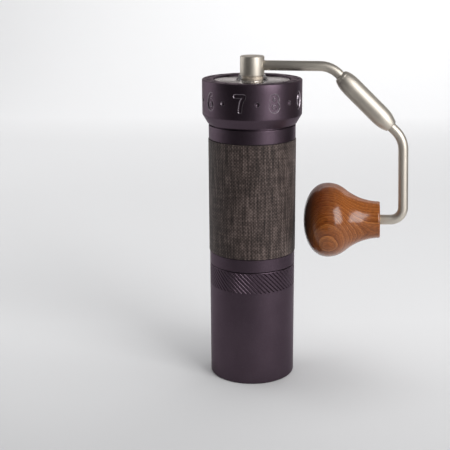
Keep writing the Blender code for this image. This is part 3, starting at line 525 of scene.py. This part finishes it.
def dial_angles():
    """Column angles: close together over each figure and dot, wide apart between them."""
    pitch = math.radians(FIGURE_STEP)
    figure, dot = 4.3 / DIAL_RADIUS, 1.75 / DIAL_RADIUS
    zones = ((0, figure, 0.145), (figure, pitch / 2 - dot, 0.9), (pitch / 2 - dot, pitch / 2, 0.17))
    half = []
    for low, high, step in zones:
        count = math.ceil((high - low) * DIAL_RADIUS / step)
        half += [low + (high - low) * index / count for index in range(count)]
    whole = half + [pitch / 2] + [pitch - angle for angle in half[:0:-1]]
    start = math.radians(SEVEN_ANGLE)
    return np.array([start + number * pitch + angle for number in range(FIGURES) for angle in whole])


def dial_profile(low, high):
    """The ring's outline. Its points are close together on the top and between the two heights."""
    rim = fillet([
        (22.9, 184), (23.05, 185.2, 0.3), (23.5, DIAL_TOP, 0.3), (DIAL_RADIUS, DIAL_TOP, 0.7),
        (DIAL_RADIUS, high),
    ], segments=5)
    foot = fillet([
        (DIAL_RADIUS, low), (DIAL_RADIUS, 164.9, 1.8), (26.75, 159.45, 0.3), (25.3, 159.45),
    ], segments=5)
    outer = [(23.2, 183.15), (23.2, 184.4), *densify(rim[1:-1], 0.36)]
    outer += densify([(DIAL_RADIUS, high), (DIAL_RADIUS, low)], 0.24) + foot[1:-1]
    inner = [(25.35, 159.45), (25.35, 170.4), (24.95, 170.4), (24.95, 183.1), (23.2, 183.1)]
    return np.array(outer + inner)


def dial_points():
    """The turned ring with the figures and dots cut into its wall and the dimples into its top. With
    it comes a value for each point: how near it is to the rim of a cut. The look makes these rims brighter,
    partly as bare metal and partly as a painted highlight."""
    low, high = FIGURE_MIDDLE - FIGURE_BAND, FIGURE_MIDDLE + FIGURE_BAND
    profile = dial_profile(low, high)
    angles = np.broadcast_to(dial_angles(), (len(profile), len(dial_angles())))
    radii = np.broadcast_to(profile[:, :1], angles.shape)
    heights = np.broadcast_to(profile[:, 1:2], angles.shape)
    # Where the figures and dots go, and where the dimples go.
    wall = (radii > DIAL_RADIUS - 0.05) & (heights >= low) & (heights <= high)
    face = (heights > 185) & (radii < 29.7)
    cut = np.zeros(radii.shape)
    sink = np.zeros(radii.shape)
    # Rim values brighten the look's colour: bare metal on the cut edges, and partly a painted highlight.
    bare_edge_highlights = np.zeros(radii.shape)
    for number in range(FIGURES):
        middle = math.radians(SEVEN_ANGLE + (number - 7) * FIGURE_STEP)
        along = wrapped(angles - middle) * DIAL_RADIUS
        near = wall & (np.abs(along) < 4.2)
        away = distance_to_strokes(along[near], heights[near] - FIGURE_MIDDLE, figure_strokes(number))
        cut[near] = FIGURE_DEPTH * soft_step((1.15 - away) / 0.36)
        bare_edge_highlights[near] = line_at(away, 1.05, 0.17)
        dot = middle + math.radians(FIGURE_STEP / 2)
        away = np.hypot(wrapped(angles - dot) * DIAL_RADIUS, heights - DOT_MIDDLE)
        cut = np.where(wall & (away < DOT_RADIUS), hollow(away, DOT_RADIUS, DOT_DEPTH), cut)
        bare_edge_highlights = np.where(wall, np.maximum(bare_edge_highlights, 0.5 * line_at(away, 1.3, 0.17)), bare_edge_highlights)
        for place in (middle, dot):
            away = np.hypot(wrapped(angles - place) * DIMPLE_CIRCLE, radii - DIMPLE_CIRCLE)
            sink = np.where(face & (away < DIMPLE_RADIUS), hollow(away, DIMPLE_RADIUS, DIMPLE_DEPTH), sink)
            bare_edge_highlights = np.where(face, np.maximum(bare_edge_highlights, 0.25 * line_at(away, 1.65, 0.15)), bare_edge_highlights)
    radii = radii - cut
    points = np.stack([radii * np.cos(angles), radii * np.sin(angles), heights - sink], axis=2)
    return points * MM, bare_edge_highlights


def dial_mesh():
    points, bare_edge_highlights = dial_points()
    mesh = skin("dial", points)
    # The rim values go to the look as brighter bare metal and a painted highlight.
    edge = mesh.attributes.new("bare_edge_highlight", "FLOAT", "POINT")
    edge.data.foreach_set("value", bare_edge_highlights.ravel().astype(np.float32))
    return mesh


# ---- cup, tube and sleeve ------------------------------------------------------------------------
KNURL_GROOVES = 58
KNURL_SAMPLES = 10
KNURL_DEPTH = 0.42
KNURL_BOTTOM = 59.1
KNURL_TOP = 71.5
CUP_TOP = 72.0


def cup_points():
    """The cup with its knurled band: the columns run aslant there, along the grooves."""
    outer = [(BODY_RADIUS - 0.45 + 0.45 * math.sin(a), CUP_TOP - 0.4 + 0.4 * math.cos(a))
             for a in (math.radians(d) for d in (0, 30, 60, 90))]
    outer += [(BODY_RADIUS, KNURL_TOP + 0.05)]
    band = densify([(BODY_RADIUS, KNURL_TOP), (BODY_RADIUS, KNURL_BOTTOM)], 1.0)
    lower = [(BODY_RADIUS, KNURL_BOTTOM - 0.05), (BODY_RADIUS, KNURL_BOTTOM - 0.2)]
    lower += densify([(BODY_RADIUS, KNURL_BOTTOM - 0.6), (BODY_RADIUS, 1.0)], 12.0)
    foot = [(BODY_RADIUS - 1 + math.cos(a), 1.0 - math.sin(a))
            for a in (math.radians(d) for d in range(15, 91, 15))]
    floor = [(12, 0.0), (0.02, 0.0), (0.02, 2.0), (12, 2.0), (21, 2.0)]
    corner = [(21 + 3 * math.sin(a), 5 - 3 * math.cos(a))
              for a in (math.radians(d) for d in range(15, 91, 15))]
    inner = [(24, 30), (24, 58), (24.95, 58), (24.95, 71.6), (25.1, 71.9)]
    profile = np.array(outer + band + lower + foot + floor + corner + inner)
    first = len(outer)
    last = first + len(band)
    # The band leans by 45 degrees. The rows above it turn as far as its top row, so that the rim
    # isn't twisted.
    lean = np.zeros(len(profile))
    slope = -(profile[first:last, 1] - KNURL_BOTTOM) / BODY_RADIUS
    lean[first:last] = slope
    lean[:first] = slope[0]
    lean[-len(inner):] = slope[0]
    grid = around(profile, KNURL_GROOVES * KNURL_SAMPLES, lean)
    phase = np.arange(KNURL_GROOVES * KNURL_SAMPLES) % KNURL_SAMPLES / KNURL_SAMPLES
    depth = KNURL_DEPTH / 2 * (1 + np.cos(math.pi * np.clip((phase - 0.5) / 0.24, -1, 1)))
    grid[first:last, :, :2] *= (1 - depth / BODY_RADIUS)[None, :, None]
    return grid * MM


KEYWAYS = (30, 150, 270)


def tube_points():
    """The tube's outline turned: down its outer side, round its foot and up its bore."""
    outline = fillet([
        (25, 170), (25, 164.4), (24.4, 164.4), (24.4, 163), (25, 163), (25, 158.4),
        (BODY_RADIUS, 158.4, 0.4), (BODY_RADIUS, 157.9), (BODY_RADIUS, 157.8), (BODY_RADIUS, 150.8),
        (BODY_RADIUS, 150.7), (BODY_RADIUS, 150.3, 0.25), (25.2, 150.2), (25.2, 80.1), (26.15, 80.1),
        (BODY_RADIUS, 80.0), (BODY_RADIUS, 79.8), (BODY_RADIUS, 79.7), (BODY_RADIUS, 72.9),
        (BODY_RADIUS, 72.8), (BODY_RADIUS, 72.3, 0.35), (24.7, 72.3), (24.7, 64), (23.6, 64),
        (23.6, 90.5), (21.5, 90.5), (21.5, 99.7), (22.5, 99.7), (22.5, 107.9), (23.4, 107.9),
        (23.4, 109.3), (22.5, 109.3), (22.5, 170),
    ], segments=5)
    return around(outline, 240) * MM


def keyway_cutters():
    """A box for each keyway that the shaft carrier slides in."""
    points, faces = [], []
    box = ((0, 1, 3, 2), (4, 6, 7, 5), (0, 4, 5, 1), (2, 3, 7, 6), (0, 2, 6, 4), (1, 5, 7, 3))
    corners = [Vector((x, y, z)) for x in (21.5, 23.6) for y in (-3.2, 3.2) for z in (158.8, 171)]
    for degrees in KEYWAYS:
        turn = Matrix.Rotation(math.radians(degrees), 3, "Z")
        faces += [[len(points) + corner for corner in face] for face in box]
        points += [turn @ corner * MM for corner in corners]
    mesh = bpy.data.meshes.new("keyways")
    mesh.from_pydata(points, [], faces)
    return mesh


def tube_mesh():
    """The tube with its keyways cut."""
    tube = bpy.data.objects.new("tube", skin("tube", tube_points()))
    cutter = bpy.data.objects.new("keyways", keyway_cutters())
    for obj in (tube, cutter):
        bpy.context.scene.collection.objects.link(obj)
    cut = tube.modifiers.new("keyways", "BOOLEAN")
    cut.operation, cut.solver, cut.object = "DIFFERENCE", "EXACT", cutter
    mesh = bpy.data.meshes.new_from_object(tube.evaluated_get(bpy.context.evaluated_depsgraph_get()))
    for obj in (tube, cutter):
        bpy.data.objects.remove(obj)
    return mesh


SLEEVE_SAMPLES = 3
SLEEVE_RADIUS = 26.6
THREAD_RELIEF = 0.055


def sleeve_points():
    """The sleeve, its outer face raised into crossing threads. Drift makes them wander, and slub
    makes them thicker in one place than in another."""
    step = WEAVE_PITCH / MM / SLEEVE_SAMPLES
    edge = [(BODY_RADIUS + 0.35 * math.sin(a), 149.55 + 0.35 * math.cos(a)) for a in (0, 0.8)]
    face = densify([(SLEEVE_RADIUS, 149.5), (SLEEVE_RADIUS, 80.8)], step)
    foot = [(BODY_RADIUS + 0.35 * math.cos(a), 80.75 - 0.35 * math.sin(a)) for a in (0.8, 1.57)]
    inner = [(25.4, 80.4), (25.4, 149.9)]
    grid = around(edge + face + foot + inner, WEAVE_AROUND * SLEEVE_SAMPLES)
    rows = slice(len(edge), len(edge) + len(face))
    angles = np.arctan2(grid[rows, :, 1], grid[rows, :, 0])
    heights = grid[rows, :, 2]
    drift = 1.2 * np.sin(heights * 0.23 + 2 * np.sin(angles * 4))
    drift = drift + 0.7 * np.sin(angles * 9 - heights * 0.11)
    up = np.sin(angles * WEAVE_AROUND / 2 + drift)
    across = np.sin(heights * MM * math.pi / WEAVE_PITCH + drift)
    slub = np.sin(angles * 23 + 2 * np.sin(heights * 0.31)) * np.sin(heights * 0.9 + 3 * np.sin(angles * 5))
    slub = 0.5 + 0.5 * slub
    raised = THREAD_RELIEF * up * across * (0.2 + 0.8 * slub) - 0.07
    grid[rows, :, :2] *= (1 + raised / SLEEVE_RADIUS)[..., None]
    return grid * MM


# ---- lid, hub, arms, barrel, knob ----------------------------------------------------------------
def lid_points():
    """The lid: a disc with a low cone round the hub and a skirt with the seal's groove."""
    profile = fillet([
        (7.45, 188.1), (7.75, 188.1, 0.1), (9.5, 185.1, 0.6), (22.7, 185.1, 0.5), (22.7, 180.55),
        (22, 180.5), (22, 180.1), (21.1, 180.1), (21.1, 178.9), (22, 178.9), (22, 178.2), (20.2, 178.2),
        (20.2, 181.8), (7.45, 181.8),
    ], segments=6)
    return around(profile, 160) * MM


def hub_points():
    """The hub, with a shallow groove over the lid, one for its clip, and the shaft's bore."""
    profile = fillet([
        (0.02, 199.1), (7.25, 199.1, 0.8), (7.25, 187.3, 0.15), (6.75, 187.2, 0.1), (6.75, 186.3, 0.1),
        (7.25, 186.2, 0.15), (7.25, 181.5), (6.55, 181.5), (6.55, 180.2), (7.25, 180.2),
        (7.25, 179, 0.3), (4.4, 179), (4.4, 195), (0.02, 195),
    ], segments=7)
    return around(profile, 96) * MM


FOLD = math.radians(44)
FOLD_DIRECTION = Vector((math.cos(FOLD), 0, -math.sin(FOLD)))
UPPER_CORNER = Vector((46.7, 0, 193.5)) * MM
LOWER_CORNER = UPPER_CORNER + FOLD_DIRECTION * 60.8 * MM
KNOB_CORNER = LOWER_CORNER + Vector((math.cos(2 * FOLD), 0, -math.sin(2 * FOLD))) * 49.6 * MM
KNOB_DIRECTION = Vector((-math.sin(2 * FOLD), 0, -math.cos(2 * FOLD)))
KNOB_FACE = KNOB_CORNER + KNOB_DIRECTION * 13.8 * MM
ROD_RADIUS = 2.98 * MM


def placed(mesh, matrix):
    """The mesh, moved from the origin to where the matrix says."""
    mesh.transform(matrix)
    return mesh


def barrel_mesh():
    """The thick sleeve round the two rods' ends, hollow, with tapering ends."""
    long = 42.6
    profile = scaled([
        (3.2, 0.0), (3.62, 0.0), (3.9, 0.12), (4.15, 0.45), (4.6, 1.3), (5.05, 2.5), (5.45, 4), (5.78, 6),
        (5.93, 8), (5.98, 10), (5.98, long - 10), (5.93, long - 8.6), (5.75, long - 6.6), (5.42, long - 4.8),
        (4.95, long - 3.1), (4.4, long - 1.6), (3.95, long - 0.5), (3.7, long - 0.1), (3.5, long),
        (3.2, long), (3.2, long - 4), (4.8, long - 4.5), (4.8, 1.6), (3.2, 1.6),
    ])
    mesh = skin("swivel_barrel_body", around(profile[::-1], 64))
    return placed(mesh, axis_matrix(UPPER_CORNER + FOLD_DIRECTION * 7.9 * MM, FOLD_DIRECTION))


def smooth_curve(points, steps):
    """A Catmull-Rom curve through the points."""
    points = [np.array(point, float) for point in points]
    points = [2 * points[0] - points[1], *points, 2 * points[-1] - points[-2]]
    line = []
    for a, b, c, d in zip(points, points[1:], points[2:], points[3:]):
        for index in range(steps):
            t = index / steps
            line.append(tuple(0.5 * (2 * b + (c - a) * t + (2 * a - 5 * b + 4 * c - d) * t**2
                                     + (3 * b - a - 3 * c + d) * t**3)))
    return line + [tuple(points[-2])]


def knob_mesh():
    """The turned knob, along its axis from the neck's face to its round end, with its bore."""
    swell = smooth_curve([
        (11.15, 1.2), (11.25, 3), (11.6, 5.5), (12.2, 8.2), (13.2, 11.5), (14.8, 15), (17, 18.7),
        (19.8, 22.4), (21.7, 26), (22.5, 29.5), (22.65, 32), (22.15, 35.5), (20.45, 38.8),
        (17.75, 41.6), (13.65, 44), (8.6, 45.65), (4.1, 46.3), (0.02, 46.48),
    ], 4)
    neck = [(10.0, 0.0), (10.6, 0.1), (11.0, 0.45)]
    inner = [(0.02, 33), (6, 33), (6, 0.5), (6.3, 0.1), (6.6, 0.0)]
    profile = scaled([*inner, *neck, *swell])
    return placed(skin("knob", around(profile, 128)), axis_matrix(KNOB_FACE, KNOB_DIRECTION))


def upper_arm_mesh():
    """From inside the hub, bent down, into the barrel."""
    start = Vector((5.5 * MM, 0, 193.5 * MM))
    end = UPPER_CORNER + FOLD_DIRECTION * 18.9 * MM
    return tube("upper_arm_rod", [start, *bend(start, UPPER_CORNER, end, 16 * MM, 24), end], ROD_RADIUS)


def lower_arm_mesh():
    """From inside the barrel, down, turned in through the knob as its spindle."""
    start = UPPER_CORNER + FOLD_DIRECTION * 28.9 * MM
    end = KNOB_CORNER + KNOB_DIRECTION * 41.8 * MM
    path = [start, *bend(start, LOWER_CORNER, KNOB_CORNER, 16 * MM, 24),
            *bend(LOWER_CORNER, KNOB_CORNER, end, 7.5 * MM, 24), end]
    return tube("lower_arm_rod", path, ROD_RADIUS)


PRELOAD_TOP = 99.3 * MM


def preload_spring_mesh():
    """The spring between the lower bearing and the inner burr, 3.5 turns of round wire."""
    radius, wire, low, high, turns = 5.7 * MM, 0.5 * MM, 93.3 * MM, PRELOAD_TOP - 0.5 * MM, 3.5
    steps, sides = 84, 12
    rise = (high - low) / (math.tau * turns)
    round_wire = [math.tau * side / sides for side in range(sides)]
    rows = []
    for step in range(steps + 1):
        angle = math.tau * turns * step / steps
        outward = Vector((math.cos(angle), math.sin(angle), 0))
        centre = outward * radius + Vector((0, 0, low + (high - low) * step / steps))
        along = Vector((-outward.y * radius, outward.x * radius, rise)).normalized()
        other = along.cross(outward)
        rows.append([centre + outward * wire * math.cos(a) + other * wire * math.sin(a) for a in round_wire])
    return skin("preload_coil", np.array(rows)[:, ::-1], caps=True)


# ---- build ---------------------------------------------------------------------------------------
LOOKS = {
    "anodised_aluminium": anodised_look(),
    "satin_nickel": nickel_look(),
    "grip_rubber": sleeve_look(),
    "clear_plastic": clear_look(),
    "wood": wood_look(KNOB_FACE, KNOB_DIRECTION),
    "steel": turned_steel_look("steel", (0.56, 0.56, 0.55), 0.28, 0.42),
    "burr_steel": turned_steel_look("burr_steel", (0.42, 0.42, 0.43), 0.3, 0.45),
    "brass": turned_steel_look("brass", (0.72, 0.52, 0.25), 0.28, 0.4),
    "seal_rubber": plain_look("seal_rubber", (0.03, 0.03, 0.03), 0.5, 0.7),
    "black_plastic": plain_look("black_plastic", (0.025, 0.025, 0.027), 0.4, 0.55),
    "magnet": plain_look("magnet", (0.5, 0.5, 0.52), 0.18, 0.3, metallic=1.0),
}

make_object("dial", dial_mesh(), "anodised_aluminium", "dial", "adjustment_dial")
make_object("cup", skin("cup", cup_points()), "anodised_aluminium", "cup", "catch_cup")
make_object("tube_body", tube_mesh(), "anodised_aluminium", "body", "body_tube")
make_object("woven_sleeve", skin("woven_sleeve", sleeve_points()), "grip_rubber", "body", "grip_sleeve")
clear_lid = make_object("clear_lid", skin("clear_lid", lid_points()), "clear_plastic", "lid", "hopper_lid")
clear_lid.visible_shadow = False
make_object("hub", skin("hub", hub_points()), "satin_nickel", "crank", "crank_hub")
make_object("upper_arm_rod", upper_arm_mesh(), "satin_nickel", "crank", "upper_arm")
make_object("swivel_barrel_body", barrel_mesh(), "satin_nickel", "crank", "swivel_barrel")
make_object("lower_arm_rod", lower_arm_mesh(), "satin_nickel", "fold_arm", "lower_arm")
make_object("knob_wood", knob_mesh(), "wood", "knob", "wooden_knob")
preload_coil = make_object("preload_coil", preload_spring_mesh(), "steel", "body", "preload_spring")
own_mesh(preload_coil)

for part in frame["record"]["subparts"]:
    node = frame["nodes"][part["node"]]
    node.data.materials.clear()
    node.data.materials.append(LOOKS[part["material_slot"]])


# ---- floor, backdrop and light -------------------------------------------------------------------
def backdrop_look():
    """Matt paper with painted shade: darker towards the front."""
    look = Look("backdrop", roughness=0.8, specular_ior_level=0.2)
    y = look.axes()[1]
    share = look.span(look.add(y, look.times(look.noise(3, 2), 0.02)), -0.3, 1.0, 0, 1)
    # Painted shade: the grey falls from 0.82 at the back to 0.45 at the front.
    stops = ((0.1, 0.45), (0.2, 0.57), (0.3, 0.66), (0.6, 0.68), (0.85, 0.74), (1.0, 0.82))
    look.colour(look.ramp(share, *((place, (grey, grey, grey + 0.005)) for place, grey in stops)))
    return look.material


def make_backdrop():
    """A floor that curves up into a wall far behind."""
    width, near, far, tall, round_size = 6.0, -2.0, 2.2, 3.0, 1.2
    line = [(near, 0.0), (far - round_size, 0.0)]
    steps = 24
    for step in range(1, steps + 1):
        angle = math.radians(90 * step / steps)
        place = far - round_size + round_size * math.sin(angle)
        line.append((place, round_size - round_size * math.cos(angle)))
    line.append((far, tall))
    points = [(side * width / 2, y, z) for side in (-1, 1) for y, z in line]
    count = len(line)
    faces = [(i, i + count, i + count + 1, i + 1) for i in range(count - 1)]
    mesh = bpy.data.meshes.new("backdrop")
    mesh.from_pydata(points, [], faces)
    mesh.shade_smooth()
    mesh.materials.append(backdrop_look())
    obj = bpy.data.objects.new("backdrop", mesh)
    obj.rotation_euler = (0, 0, math.radians(VIEW_TURN))
    bpy.context.scene.collection.objects.link(obj)


def area_light(name, place, target, size, power):
    data = bpy.data.lights.new(name, "AREA")
    data.shape = "RECTANGLE"
    data.size, data.size_y = size
    data.energy = power
    light = bpy.data.objects.new(name, data)
    light.location = place
    light.rotation_euler = (Vector(target) - Vector(place)).to_track_quat("-Z", "Y").to_euler()
    bpy.context.scene.collection.objects.link(light)
    return light


def make_world():
    """A faint cool light from all round."""
    world = bpy.data.worlds.new("studio")
    world.use_nodes = True
    shader = world.node_tree.nodes["Background"]
    shader.inputs["Color"].default_value = (0.95, 0.96, 1.0, 1)
    shader.inputs["Strength"].default_value = 0.14
    bpy.context.scene.world = world


def reflected_card(name, start, end, edges, colour=(0.05, 0.05, 0.05)):
    """A card that is seen only in reflections, dark unless it has a colour. It runs between two
    edges, each (distance from the axis, height), and from the start angle to the end, in degrees from
    the camera's side, positive to the right."""
    steps = 16
    toward = math.radians(-90 + VIEW_TURN)
    points = []
    for step in range(steps + 1):
        angle = toward + math.radians(start + (end - start) * step / steps)
        for radius, height in edges:
            points.append((radius * math.cos(angle), radius * math.sin(angle), height))
    faces = [(2 * i, 2 * i + 1, 2 * i + 3, 2 * i + 2) for i in range(steps)]
    mesh = bpy.data.meshes.new(name)
    mesh.from_pydata(points, [], faces)
    mesh.materials.append(plain_look(name, colour, 0.8, 0.95))
    obj = bpy.data.objects.new(name, mesh)
    obj.visible_camera = False
    obj.visible_diffuse = False
    obj.visible_shadow = False
    obj.visible_transmission = False
    bpy.context.scene.collection.objects.link(obj)


FLOOR_EDGES = ((0.3, 0.0004), (2.0, 0.0004))
FLAG_EDGES = ((2.0, 0.0), (2.0, 1.3))
BACK_EDGES = ((1.0, 0.0), (1.3, 0.9))

make_backdrop()
make_world()
reflected_card("card_front_left", -66, 6, FLOOR_EDGES)
reflected_card("flag_front_left", -62, -6, FLAG_EDGES)
reflected_card("card_right", 80, 136, FLOOR_EDGES)
reflected_card("flag_right", 86, 128, FLAG_EDGES)
reflected_card("card_back", 148, 212, BACK_EDGES, (0.50, 0.45, 0.445))
area_light("key", (0.62, -0.5, 0.42), (0, 0, 0.12), (0.46, 0.66), 6.6)
area_light("left", (-0.9, 0.25, 0.35), (0, 0, 0.12), (0.8, 1.0), 3.3)
area_light("top", (0.15, 0.1, 1.5), (0, 0, 0.0), (1.2, 1.2), 15.5).visible_glossy = False
area_light("back", (0.5, 1.5, 1.2), (0.32, 2.1, 0.2), (2.8, 0.9), 18.5)
bpy.context.scene.view_settings.view_transform = "Standard"
